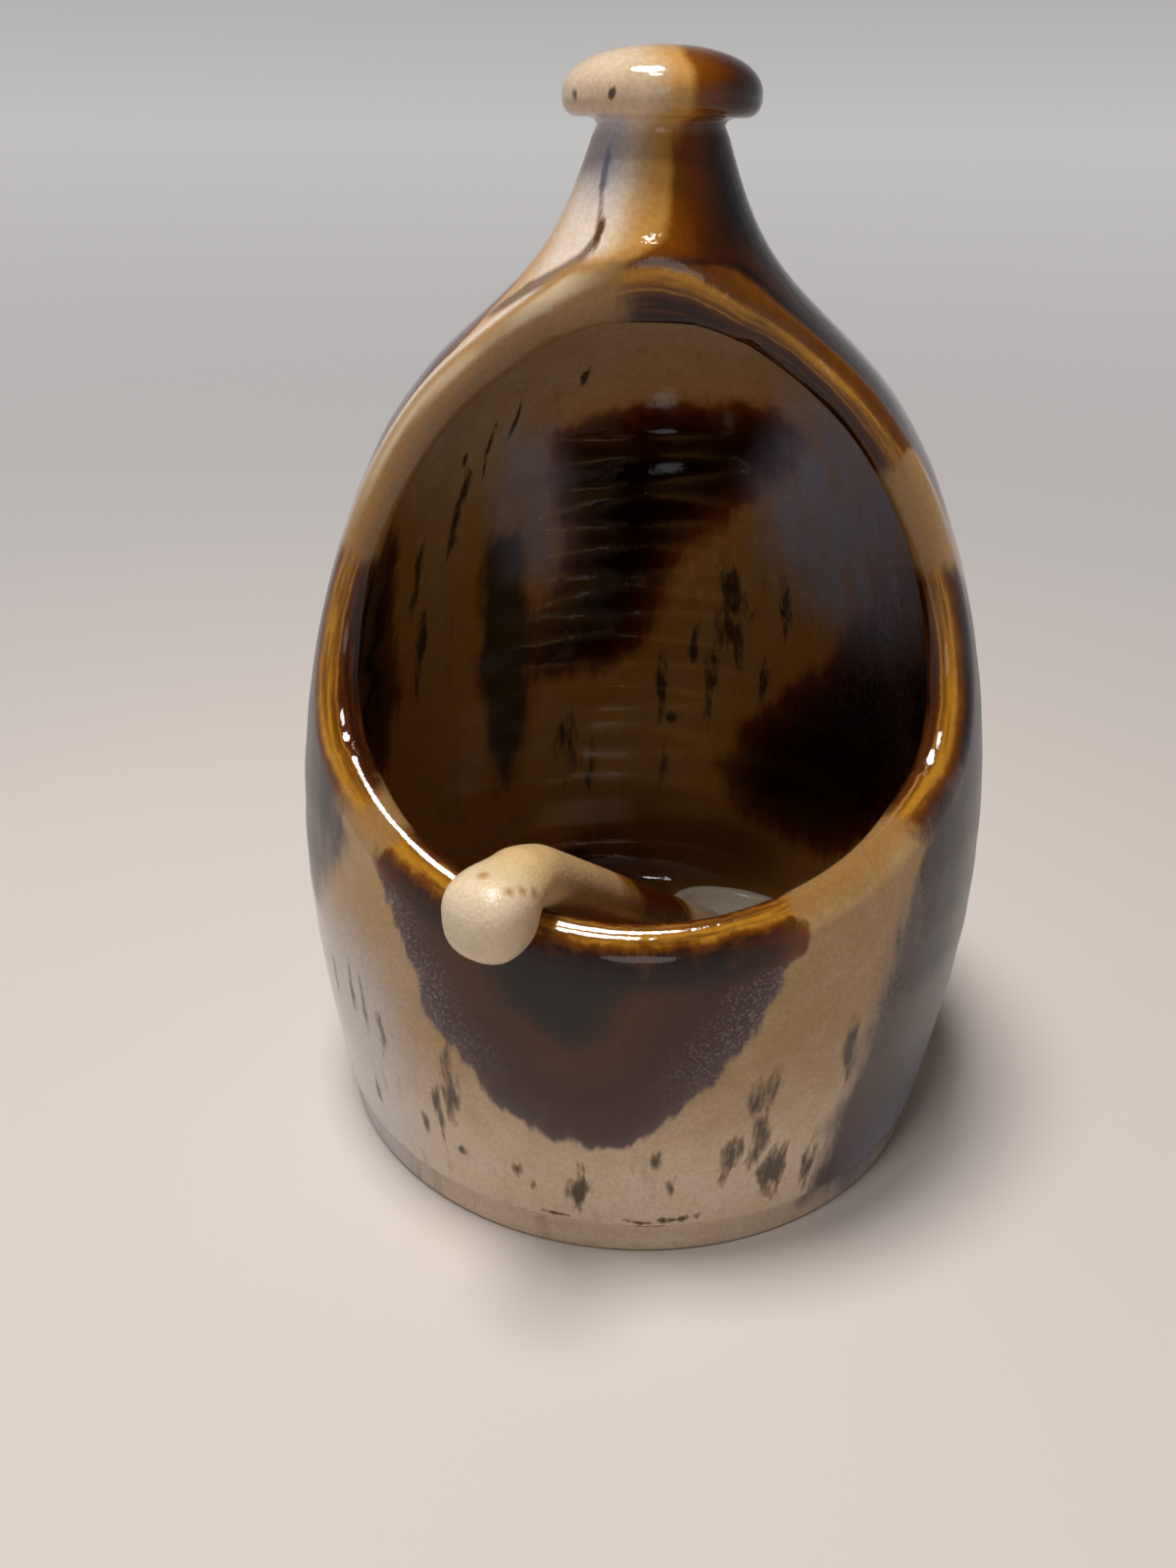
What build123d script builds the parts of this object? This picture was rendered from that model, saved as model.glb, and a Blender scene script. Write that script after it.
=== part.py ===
from build123d import *
import math
import os

# A hooded stoneware salt pig with its loose salt spoon, in millimetres.
# +Z is up, the base stands on z = 0 with the pot's axis on Z, and the mouth faces -Y.

# Outside of the pot, thrown as one round form
foot_radius = 56.6
foot_height = 6.5
foot_step = 1.1
foot_edge = 0.8
belly_radius = 62.0
belly_height = 46.0
shoulder_radius = 52.2
shoulder_height = 108.9
hood_radius = 35.9
hood_height = 137.0
collar_radius = 17.2
collar_height = 155.2
neck_radius = 9.5
neck_top = 172.4

# Clay thickness
wall = 6.0
floor_thickness = 7.0
floor_corner = 14.0
crown_drop = 8.0
crown_rise = 5.0

# Mouth, cut with a wire: straight down the hood, then swept forward over the front wall
mouth_setback = 17.5
lip_height = 66.2
lip_slope = 31.0
mouth_bend = 32.0
rim_round = 2.7
rim_depth = 9.0
rim_cap = 2.0

# Knob, set on the neck
knob_radius = 14.9
knob_height = 9.5
knob_skirt = 2.8
knob_edge = 2.4
knob_fullness = (0.75, 0.72)

# Salt spoon, hooked over the front of the mouth with its bowl down on the floor
spoon_turn = 25.5
hook_side = 15.2
hook_clearance = 0.65
hook_wrap = 9.0
hook_nose = 6.2
tip_radius = 6.6
handle_radius = 4.9
handle_neck = 4.5
handle_sink = 3.0
bowl_radius = 14.5
bowl_wall = 3.2
bowl_tilt = 16.0
bowl_lip = 1.2
bowl_clearance = 0.3
bowl_gap = 7.0

# How finely the inside of the wall follows the outside, and how far cutters overrun
wall_steps = 8
overrun = 40.0
round_share = 0.45
skirt_share = 0.9

# How many times a search along the wall halves its range, or settles on the rim
halvings = 40
settlings = 8


def at(radius, height):
    return (0, radius, height)


# The outer wall is one smooth curve from the top of the foot to the top of the neck.
outer_curve = Spline(
    at(foot_radius + foot_step, foot_height),
    at(belly_radius, belly_height),
    at(shoulder_radius, shoulder_height),
    at(hood_radius, hood_height),
    at(collar_radius, collar_height),
    at(neck_radius, neck_top),
)
inside_foot = foot_radius + foot_step - wall


def first_place(reached):
    # The place along the outer curve, from its foot, where a condition is first met.
    low, high = 0.0, 1.0
    for _ in range(halvings):
        middle = (low + high) / 2
        if reached(outer_curve @ middle):
            high = middle
        else:
            low = middle
    return high


def place_at_height(height):
    return first_place(lambda point: point.Z >= height)


def middle_radius(height):
    return (outer_curve @ place_at_height(height)).Y - wall / 2


def inside_point(place):
    outside = outer_curve @ place
    along = outer_curve % place
    return at(outside.Y - wall * along.Z, outside.Z + wall * along.Y)


def thrown_form():
    foot = Polyline(
        at(0, 0),
        at(foot_radius, 0),
        at(foot_radius, foot_height),
        at(foot_radius + foot_step, foot_height),
    )
    top = Polyline(at(neck_radius, neck_top), at(0, neck_top), at(0, 0))
    solid = revolve(make_face([*foot.edges(), *outer_curve.edges(), *top.edges()]), Axis.Z)
    base_edge = solid.edges().filter_by(GeomType.CIRCLE).sort_by(Axis.Z)[0]
    return fillet(base_edge, foot_edge)


def hollow():
    crown_place = place_at_height(collar_height - crown_drop)
    places = [crown_place * step / wall_steps for step in range(1, wall_steps + 1)]
    corner = at(inside_foot, floor_thickness)
    wall_curve = Spline(corner, *[inside_point(place) for place in places])
    crown = wall_curve @ 1
    crown_top = at(0, crown.Z + crown_rise)
    crown_curve = Spline(crown, crown_top, tangents=[wall_curve % 1, (0, -1, 0)])
    rest = Polyline(crown_top, at(0, floor_thickness), corner)
    solid = revolve(make_face([*wall_curve.edges(), *crown_curve.edges(), *rest.edges()]), Axis.Z)
    floor_edge = solid.edges().filter_by(GeomType.CIRCLE).sort_by(Axis.Z)[0]
    return fillet(floor_edge, floor_corner)


# The cut crosses the middle of the front wall at the lip height, and its edges are rounded.
lip_middle = middle_radius(lip_height)
rim_radius = min(rim_round, round_share * wall)


def lip_line(y):
    return lip_height + (y + lip_middle) * math.tan(math.radians(lip_slope))


def mouth_region(depth, top):
    # All that lies in front of the cut, with the cut moved back into the clay by the depth.
    drop = depth / math.cos(math.radians(lip_slope))
    back = depth - mouth_setback
    front = -belly_radius - overrun
    front_foot = (0, front, lip_line(front) - drop)
    cut = FilletPolyline(
        front_foot,
        (0, back, lip_line(back) - drop),
        (0, back, top),
        radius=mouth_bend + depth,
    )
    edge = Polyline((0, back, top), (0, front, top), front_foot)
    face = make_face([*cut.edges(), *edge.edges()])
    return extrude(face, belly_radius + overrun, dir=(1, 0, 0), both=True)


def open_shell():
    closed = thrown_form() - hollow()
    cutter = mouth_region(0, neck_top + overrun)
    opened = closed - cutter
    mouth_edges = new_edges(closed, cutter, combined=opened).filter_by(GeomType.LINE, reverse=True)
    return fillet(mouth_edges, rim_radius)


def knob_form():
    skirt_top = at(knob_radius, neck_top + knob_skirt)
    crown = at(0, neck_top + knob_height)
    out, up = knob_fullness
    dome_middle = at(knob_radius * out, neck_top + knob_skirt + (knob_height - knob_skirt) * up)
    dome = Spline(skirt_top, dome_middle, crown, tangents=[(0, 0, 1), (0, -1, 0)])
    flat = Polyline(crown, at(0, neck_top), at(knob_radius, neck_top), skirt_top)
    solid = revolve(make_face([*dome.edges(), *flat.edges()]), Axis.Z)
    lower_edge = solid.edges().filter_by(GeomType.CIRCLE).sort_by(Axis.Z)[0]
    return fillet(lower_edge, min(knob_edge, skirt_share * knob_skirt))


def rim_middle(side):
    # The point in the middle of the wall where the cut crosses it, this far to one side.
    y = -lip_middle
    for _ in range(settlings):
        y = -math.sqrt(middle_radius(lip_line(y)) ** 2 - side**2)
    return Vector(-side, y, lip_line(y))


shell = open_shell()
mouth_top = outer_curve @ first_place(lambda point: point.Z > belly_height and point.Y <= mouth_setback)
rim_zone = mouth_region(rim_depth, mouth_top.Z + rim_cap)
pot_body = shell - rim_zone
mouth_rim = shell & rim_zone
knob = knob_form()

# The spoon lies in one upright plane. Along it, s runs from the rim to the bowl.
turn = math.radians(spoon_turn)
rim_top = rim_middle(hook_side)
hook_centre = rim_top - Vector(0, 0, rim_radius / math.cos(math.radians(lip_slope)))
spoon_plane = Plane(
    origin=(hook_centre.X, hook_centre.Y, 0),
    x_dir=(math.sin(turn), math.cos(turn), 0),
    z_dir=(math.cos(turn), -math.sin(turn), 0),
)

# The bowl lies on the floor beyond the pot's axis, with a gap to the back of the wall.
bowl_from_axis = inside_foot - bowl_gap - bowl_radius
hook_offset = Vector(hook_centre.X, hook_centre.Y, 0)
to_axis = -hook_offset.dot(spoon_plane.x_dir)
aside = math.sqrt(hook_offset.length**2 - to_axis**2)
bowl_reach = to_axis + math.sqrt(bowl_from_axis**2 - aside**2)
bowl_height = floor_thickness + bowl_clearance + bowl_radius
hook_radius = rim_radius + hook_clearance + handle_radius
tilt = math.radians(bowl_tilt)


def in_spoon(s, height):
    return spoon_plane.from_local_coords(Vector(s, height, 0))


def spoon_circle(middle, along, radius):
    ahead = in_spoon(middle.X + along.X, middle.Y + along.Y) - in_spoon(middle.X, middle.Y)
    return Plane(origin=in_spoon(middle.X, middle.Y), z_dir=ahead) * Circle(radius)


bowl_middle = in_spoon(bowl_reach, bowl_height)
bowl_up = in_spoon(bowl_reach + math.sin(tilt), bowl_height + math.cos(tilt)) - bowl_middle


def bowl_form():
    mouth = Plane(origin=bowl_middle, z_dir=bowl_up)
    ball = Pos(bowl_middle) * (Sphere(bowl_radius) - Sphere(bowl_radius - bowl_wall))
    half = split(ball, bisect_by=mouth, keep=Keep.BOTTOM)
    lip_edges = half.faces().filter_by(GeomType.PLANE)[0].edges()
    return fillet(lip_edges, min(bowl_lip, round_share * bowl_wall))


def handle_form():
    # A tapered bar runs from the bowl's side, tangent onto the bend over the rim.
    join = Vector(
        bowl_reach - bowl_radius * math.cos(tilt),
        bowl_height + bowl_radius * math.sin(tilt) - handle_sink,
    )
    fall = hook_centre.Z - join.Y
    descent = math.atan2(fall, join.X) + math.asin(hook_radius / math.hypot(join.X, fall))
    bend_start = Vector(
        hook_radius * math.sin(descent),
        hook_centre.Z + hook_radius * math.cos(descent),
    )
    along = (join - bend_start).normalized()
    bar_end = join + along * bowl_wall
    top_circle = spoon_circle(bend_start, along, handle_radius)
    bar = loft([top_circle, spoon_circle(bar_end, along, handle_neck)])
    bend_axis = Axis(in_spoon(0, hook_centre.Z), spoon_plane.z_dir)
    bend = revolve(top_circle, bend_axis, math.degrees(descent) + hook_wrap)
    # Past the bend the end of the handle swells into a blunt tip outside the pot.
    wrap = math.radians(hook_wrap)
    bend_end = Vector(-hook_radius * math.sin(wrap), hook_centre.Z + hook_radius * math.cos(wrap))
    outward = Vector(-math.cos(wrap), -math.sin(wrap))
    tip = bend_end + outward * hook_nose
    nose = loft([spoon_circle(bend_end, outward, handle_radius), spoon_circle(tip, outward, tip_radius)])
    end_ball = Pos(in_spoon(tip.X, tip.Y)) * Sphere(tip_radius)
    bowl_ball = Pos(bowl_middle) * Sphere(bowl_radius)
    return bar + bend + nose + end_ball - bowl_ball


nodes = {
    "pot_body": pot_body,
    "mouth_rim": mouth_rim,
    "knob": knob,
    "spoon_bowl": bowl_form(),
    "spoon_handle": handle_form(),
}

os.makedirs("parts", exist_ok=True)
for name, shape in nodes.items():
    export_step(shape, f"parts/{name}.step")
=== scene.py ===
import math

import bpy
import numpy as np
from mathutils import Matrix, Vector


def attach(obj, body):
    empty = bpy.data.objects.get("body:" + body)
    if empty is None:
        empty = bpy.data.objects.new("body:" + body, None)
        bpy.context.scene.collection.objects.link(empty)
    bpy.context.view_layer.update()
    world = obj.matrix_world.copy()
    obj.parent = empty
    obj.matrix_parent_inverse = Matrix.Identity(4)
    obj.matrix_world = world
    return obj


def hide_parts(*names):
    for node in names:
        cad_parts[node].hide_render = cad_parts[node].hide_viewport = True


# A hooded stoneware salt pig with its spoon. Sizes are in millimetres and angles in degrees until a mesh is
# made; an angle round the pot is 0 at the middle of the mouth and grows towards +X.

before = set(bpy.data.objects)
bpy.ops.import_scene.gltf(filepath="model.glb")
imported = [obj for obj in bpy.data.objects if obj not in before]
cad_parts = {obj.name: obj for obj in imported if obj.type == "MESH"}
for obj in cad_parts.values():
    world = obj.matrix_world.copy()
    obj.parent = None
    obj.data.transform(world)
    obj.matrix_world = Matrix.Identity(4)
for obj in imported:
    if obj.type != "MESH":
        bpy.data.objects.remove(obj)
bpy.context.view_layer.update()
millimetre = 0.001
print("frame loaded:", sorted(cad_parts))


def linearColour(code):
    shares = [int(code[i:i + 2], 16) / 255 for i in (1, 3, 5)]
    return [s / 12.92 if s <= 0.04045 else ((s + 0.055) / 1.055) ** 2.4 for s in shares] + [1.0]


def addNode(tree, kind, inputs=None, output=0, **settings):
    # Adds a node, links or sets its inputs, and gives back one of its outputs.
    node = tree.nodes.new("ShaderNode" + kind)
    for name, value in settings.items():
        setattr(node, name, value)
    for socket, value in (inputs or {}).items():
        if isinstance(value, bpy.types.NodeSocket):
            tree.links.new(value, node.inputs[socket])
        else:
            node.inputs[socket].default_value = value
    return node.outputs[output]


def applyModifier(piece, kind, **settings):
    bpy.ops.object.select_all(action="DESELECT")
    bpy.context.view_layer.objects.active = piece
    piece.select_set(True)
    modifier = piece.modifiers.new(kind.lower(), kind)
    for name, value in settings.items():
        setattr(modifier, name, value)
    bpy.ops.object.modifier_apply(modifier=modifier.name)


def joinPieces(pieces, name):
    bpy.ops.object.select_all(action="DESELECT")
    for piece in pieces:
        piece.select_set(True)
    bpy.context.view_layer.objects.active = pieces[0]
    bpy.ops.object.join()
    pieces[0].name = name
    return pieces[0]


def vertexPlaces(piece):
    places = np.empty(len(piece.data.vertices) * 3)
    piece.data.vertices.foreach_get("co", places)
    return places.reshape(-1, 3) / millimetre


def setVertexPlaces(piece, places):
    piece.data.vertices.foreach_set("co", (places * millimetre).ravel())
    piece.data.update()


def setAttribute(piece, name, values):
    kind, slot = ("FLOAT", "value") if values.ndim == 1 else ("FLOAT_VECTOR", "vector")
    attribute = piece.data.attributes.new(name, kind, "POINT")
    attribute.data.foreach_set(slot, np.asarray(values, dtype=np.float32).ravel())


def smoothStep(low, high, value):
    share = np.clip((value - low) / (high - low), 0, 1)
    return share * share * (3 - 2 * share)


# The pot: two rolled sheets of clay, outside and inside, joined by a round rim at the mouth.
pot = {
    "profile": [(57.7, 6.5), (62.0, 46.0), (52.2, 108.9), (35.9, 137.0), (17.2, 155.2), (9.5, 172.4)],
    "footRadius": 56.6,
    "footEdge": 0.8,
    "footRings": (0, 0.35, 0.7, 0.92),
    "footFillet": [(0, 2.4), (0, 4.2), (0, 5.4), (0.1, 5.9), (0.45, 6.4), (0.9, 6.8)],
    "wall": 6.0,
    "floorHeight": 7.0,
    "floorCorner": 14.0,
    "crownStart": 147.2,
    "crownRise": 5.0,
    "crownTop": 158.0,
    "knobRadius": 14.9,
    "knobHeight": 9.5,
    "knobSkirt": 2.8,
    "skirtRound": 0.86,
    "domePower": 0.89,
    "neckFillet": [(0.1, -0.9), (0.5, -0.35), (1.4, 0)],
    "mouthSetback": 17.5,
    "lipRadius": 58.0,
    "lipHeight": 66.2,
    "lipSlope": 31.0,
    "mouthBend": 32.0,
    "rimRound": 2.7,
    "topRound": 0.9,
    "cutEase": 1.0,
    "easeHeights": (112, 128),
    "profileSteps": 900,
    "sideSteps": 300,
    "wallStart": 7.3,
    "wallSpare": 14,
    "mouthColumns": 56,
    "backColumns": 56,
    "outerRows": (62, 56),
    "innerRows": (46, 66),
    "rimCuts": 10,
    "weld": 0.004,
    "ringPitch": 11.0,
    "ringInside": 0.1,
    "ringBack": 0.22,
    "ringOutside": 0.05,
    "wobble": 0.25,
    "rimBead": 0.9,
}


def smoothLine(points, count):
    # A natural cubic spline through the points, spaced evenly along its chords.
    points = np.array(points, float)
    chord = np.concatenate([[0], np.cumsum(np.hypot(*np.diff(points, axis=0).T))])
    gap = np.diff(chord)
    system = np.eye(len(points))
    bend = np.zeros_like(points)
    for i in range(1, len(points) - 1):
        system[i, i - 1:i + 2] = gap[i - 1], 2 * (gap[i - 1] + gap[i]), gap[i]
        bend[i] = 6 * ((points[i + 1] - points[i]) / gap[i] - (points[i] - points[i - 1]) / gap[i - 1])
    bend = np.linalg.solve(system, bend)
    place = np.linspace(0, chord[-1], count)
    i = np.clip(np.searchsorted(chord, place) - 1, 0, len(gap) - 1)
    before, after, span = (place - chord[i])[:, None], (chord[i + 1] - place)[:, None], gap[i][:, None]
    curve = (bend[i] * after**3 + bend[i + 1] * before**3) / (6 * span)
    line = (points[i] / span - bend[i] * span / 6) * after
    line = line + (points[i + 1] / span - bend[i + 1] * span / 6) * before
    return curve + line


def arc(centre, radius, start, end, count):
    turn = np.radians(np.linspace(start, end, count))
    return np.stack([centre[0] + radius * np.cos(turn), centre[1] + radius * np.sin(turn)], axis=1)


def offsetLine(line, distance):
    along = np.gradient(line, axis=0)
    along /= np.linalg.norm(along, axis=1)[:, None]
    return line + distance * np.stack([-along[:, 1], along[:, 0]], axis=1)


def cutDepth(y, z):
    # How far a point lies behind the cut of the mouth, which is upright, then bent, then sloped.
    slope, bend = math.radians(pot["lipSlope"]), pot["mouthBend"]
    behind = y + pot["mouthSetback"]
    under = (pot["lipHeight"] - z) * math.cos(slope) + (y + pot["lipRadius"]) * math.sin(slope)
    middleY = -pot["mouthSetback"] - bend
    middleZ = pot["lipHeight"] + (middleY + pot["lipRadius"]) * math.tan(slope) + bend / math.cos(slope)
    turn = np.degrees(np.arctan2(z - middleZ, y - middleY))
    inBend = (turn < 0) & (turn > pot["lipSlope"] - 90)
    return np.where(inBend, np.hypot(y - middleY, z - middleZ) - bend, np.maximum(behind, under))


def mouthSpan(line, reach, angle, topRound):
    # Where the mouth opens and closes again along a wall line that stands at this angle.
    depth = cutDepth(-line[:, 0] * math.cos(angle), line[:, 1])
    opened = np.flatnonzero(depth < pot["rimRound"])
    below = np.flatnonzero(depth < topRound)
    if len(opened) == 0 or len(below) == 0:
        return None
    first, last = opened[0], below[-1]
    low = np.interp(pot["rimRound"], [depth[first], depth[first - 1]], [reach[first], reach[first - 1]])
    high = np.interp(topRound, [depth[last], depth[last + 1]], [reach[last], reach[last + 1]])
    return low, high


def rolledSheet(angles, radii, heights):
    rows, columns = heights.shape
    bpy.ops.mesh.primitive_grid_add(x_subdivisions=columns - 1, y_subdivisions=rows - 1)
    sheet = bpy.context.active_object
    setVertexPlaces(sheet, np.stack([radii * np.sin(angles), -radii * np.cos(angles), heights], axis=-1))
    return sheet


def rolledWall(line, below, above, rows, turned, topRound):
    # Two sheets, under and over the mouth, that meet wherever the mouth is not between them.
    reach = np.concatenate([[0], np.cumsum(np.linalg.norm(np.diff(line, axis=0), axis=1))])
    low, high = 0.0, math.pi / 2
    for _ in range(40):
        middle = (low + high) / 2
        low, high = (middle, high) if mouthSpan(line, reach, middle, pot["rimRound"]) else (low, middle)
    widest, meeting = low, np.mean(mouthSpan(line, reach, low, pot["rimRound"]))
    inMouth = widest * np.sin(np.linspace(0, 1, pot["mouthColumns"] + 1) * math.pi / 2)
    behind = widest + (math.pi - widest) * (1 - np.cos(np.linspace(0, 1, pot["backColumns"] + 1) * math.pi / 2))
    side = np.concatenate([inMouth, behind[1:]])
    rounds = topRound + (pot["rimRound"] - topRound) * smoothStep(0.35, 0.95, inMouth / widest)
    spans = [mouthSpan(line, reach, angle, size) for angle, size in zip(inMouth[:-1], rounds)]
    spans += [(meeting, meeting)] * (len(behind))
    angles = turned * np.concatenate([-side[:0:-1], side])
    lows, highs = np.array(spans[:0:-1] + spans).T
    sheets = []
    for start, end, count, fixed in (
        (np.zeros_like(lows), lows, rows[0], below),
        (highs, np.full_like(highs, reach[-1]), rows[1], above),
    ):
        share = np.linspace(0, 1, count)[:, None]
        place = start + (end - start) * share
        radii, heights = np.interp(place, reach, line[:, 0]), np.interp(place, reach, line[:, 1])
        if len(fixed):
            ring = np.repeat(np.array(fixed)[:, :, None], len(angles), axis=2)
            order = (ring, np.stack([radii, heights], axis=1))
            whole = np.concatenate(order if fixed is below else order[::-1])
            radii, heights = whole[:, 0], whole[:, 1]
        sheets.append(rolledSheet(np.broadcast_to(angles, heights.shape), radii, heights))
    return sheets


def outerLines():
    # The wall, and the fixed rings under it, over the foot, and above it, over the knob.
    wall = smoothLine(pot["profile"], pot["profileSteps"])
    foot, edge, knob = pot["footRadius"], pot["footEdge"], pot["knobRadius"]
    neckRadius, neckTop = wall[-1]
    below = [(foot * share, 0) for share in pot["footRings"]]
    below += [tuple(p) for p in arc((foot - edge, edge), edge, -90, 0, 5)]
    below += [(foot + out, height) for out, height in pot["footFillet"]]
    skirt, dome, power = pot["knobSkirt"], pot["knobHeight"] - pot["knobSkirt"], pot["domePower"]
    above = [(neckRadius + out, neckTop + up) for out, up in pot["neckFillet"]]
    bend = skirt * pot["skirtRound"]
    above += [tuple(p) for p in arc((knob - bend, neckTop + bend), bend, -90, 0, 8)]
    for turn in np.radians(np.linspace(0, 90, 20))[1:]:
        above.append((knob * math.cos(turn) ** power, neckTop + skirt + dome * math.sin(turn) ** power))
    above[-1] = (0, neckTop + pot["knobHeight"])
    return wall[wall[:, 1] > pot["wallStart"]][:-pot["wallSpare"]], below, above


def innerLine():
    # The wall inside, closed over the top by a crown, and the rings of the floor.
    outside = smoothLine(pot["profile"], pot["profileSteps"])
    wall = offsetLine(outside[outside[:, 1] < pot["crownStart"]], pot["wall"])
    corner, floor = pot["floorCorner"], pot["floorHeight"]
    wall = wall[wall[:, 1] > floor + corner]
    start, end = wall[-1], np.array([0, wall[-1, 1] + pot["crownRise"]])
    along = (wall[-1] - wall[-3]) / np.linalg.norm(wall[-1] - wall[-3]) * start[0]
    t = np.linspace(0, 1, 60)[1:, None]
    crown = (2 * t**3 - 3 * t**2 + 1) * start + (t**3 - 2 * t**2 + t) * along
    crown = crown + (3 * t**2 - 2 * t**3) * end + (t**3 - t**2) * np.array([-start[0], 0])
    middle = (wall[0, 0] - corner, floor + corner)
    below = [(middle[0] * share, floor) for share in pot["footRings"][:3]]
    below += [tuple(p) for p in arc(middle, corner, -90, -6, 16)]
    return np.concatenate([wall, crown]), below


def makePot():
    outerWall, below, above = outerLines()
    innerWall, floor = innerLine()
    sheets = rolledWall(outerWall, below, above, pot["outerRows"], 1, pot["topRound"])
    sheets += rolledWall(innerWall, floor, [], pot["innerRows"], -1, pot["rimRound"])
    piece = joinPieces(sheets, "glazedPot")
    bpy.ops.object.mode_set(mode="EDIT")
    bpy.ops.mesh.select_all(action="SELECT")
    bpy.ops.mesh.remove_doubles(threshold=pot["weld"] * millimetre)
    bpy.ops.mesh.select_all(action="DESELECT")
    bpy.ops.mesh.select_mode(type="EDGE")
    bpy.ops.mesh.select_non_manifold(use_wire=False, use_multi_face=False, use_non_contiguous=False)
    bpy.ops.mesh.bridge_edge_loops(number_cuts=pot["rimCuts"], interpolation="SURFACE", smoothness=1.0)
    bpy.ops.mesh.select_all(action="SELECT")
    bpy.ops.mesh.normals_make_consistent(inside=False)
    bpy.ops.object.mode_set(mode="OBJECT")
    bpy.ops.object.shade_smooth()
    # High up, what bulges out of the cut is eased back onto it.
    places = vertexPlaces(piece)
    before, ease = places[:, 1] + pot["mouthSetback"], pot["cutEase"]
    eased = np.where(before < ease, ease * np.exp(np.minimum(before / ease - 1, 0)), before)
    places[:, 1] += (eased - before) * smoothStep(*pot["easeHeights"], places[:, 2])
    setVertexPlaces(piece, places)
    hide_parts("pot_body", "mouth_rim", "knob")
    return piece


potPiece = makePot()
print("pot made:", len(potPiece.data.vertices), "vertices")


# The spoon: the handle and the bowl of the frame, run together into one smooth lump of clay.
spoon = {
    "grain": 0.55,
    "softness": 0.5,
    "passes": 16,
    "along": (0.4305, 0.9026),
    "hook": (-15.2, -55.9),
    "endReach": -7.4,
    "endHeight": 71.45,
    "bluntness": 2.7,
    "bluntReach": (-8, -1),
    "fill": 1.2,
    "fillMiddle": -1.0,
    "fillSpan": 3.5,
    "fillRise": (-2, 3),
    "lumps": 0.02,
    "clearance": 0.05,
    "ramp": [(0.06, "#EBD8B8"), (0.2, "#D6B27E"), (0.4, "#C89E6C"), (0.445, "#8A5518"), (0.47, "#4A1E06"),
             (0.6, "#4A1E06"), (0.63, "#8A5518"), (0.66, "#D5B98E"), (0.8, "#E4D6BE")],
    "flecks": [(-15.3, -66.6, 77.2), (-13.8, -65.2, 76.4), (-12.3, -63.5, 75.4), (-19.4, -63.8, 78.0)],
}


def fullEnd(piece):
    # The end is blunt like a thumb, and the clay stays full between it and the bend.
    x, y, z = vertexPlaces(piece).T
    (ax, ay), (hx, hy) = spoon["along"], spoon["hook"]
    reach, aside = ax * (x - hx) + ay * (y - hy), ay * (x - hx) - ax * (y - hy)
    ahead, up = reach - spoon["endReach"], z - spoon["endHeight"]
    span = np.maximum(np.sqrt(ahead**2 + aside**2 + up**2), 0.01)
    power = spoon["bluntness"]
    boxy = span / (np.abs(ahead) ** power + np.abs(aside) ** power + np.abs(up) ** power) ** (1 / power)
    weight = 1 - smoothStep(*spoon["bluntReach"], reach)
    fullness = np.exp(-(((reach - spoon["fillMiddle"]) / spoon["fillSpan"]) ** 2))
    fill = spoon["fill"] * fullness * smoothStep(*spoon["fillRise"], up) / span
    lumps = spoon["lumps"] * np.sin(x / 2.3 + 1) * np.sin(y / 2.9 + z / 3.1) * weight
    blunt = 1 + (boxy - 1) * weight + lumps
    reach = spoon["endReach"] + ahead * blunt
    aside, z = aside * (blunt + fill), spoon["endHeight"] + up * (blunt + fill)
    setVertexPlaces(piece, np.stack([hx + ax * reach + ay * aside, hy + ay * reach - ax * aside, z], axis=1))


def makeSpoon():
    copies = []
    for name in ("spoon_handle", "spoon_bowl"):
        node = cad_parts[name]
        copy = bpy.data.objects.new(name + "Copy", node.data.copy())
        bpy.context.scene.collection.objects.link(copy)
        copies.append(copy)
    piece = joinPieces(copies, "glazedSpoon")
    bpy.ops.object.mode_set(mode="EDIT")
    bpy.ops.mesh.select_all(action="SELECT")
    bpy.ops.mesh.remove_doubles(threshold=pot["weld"] * millimetre)
    bpy.ops.object.mode_set(mode="OBJECT")
    applyModifier(piece, "REMESH", mode="VOXEL", voxel_size=spoon["grain"] * millimetre)
    applyModifier(piece, "SMOOTH", factor=spoon["softness"], iterations=spoon["passes"])
    fullEnd(piece)
    bpy.ops.object.shade_smooth()
    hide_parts("spoon_handle", "spoon_bowl")
    return piece


spoonPiece = makeSpoon()
print("spoon made:", len(spoonPiece.data.vertices), "vertices")


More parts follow.
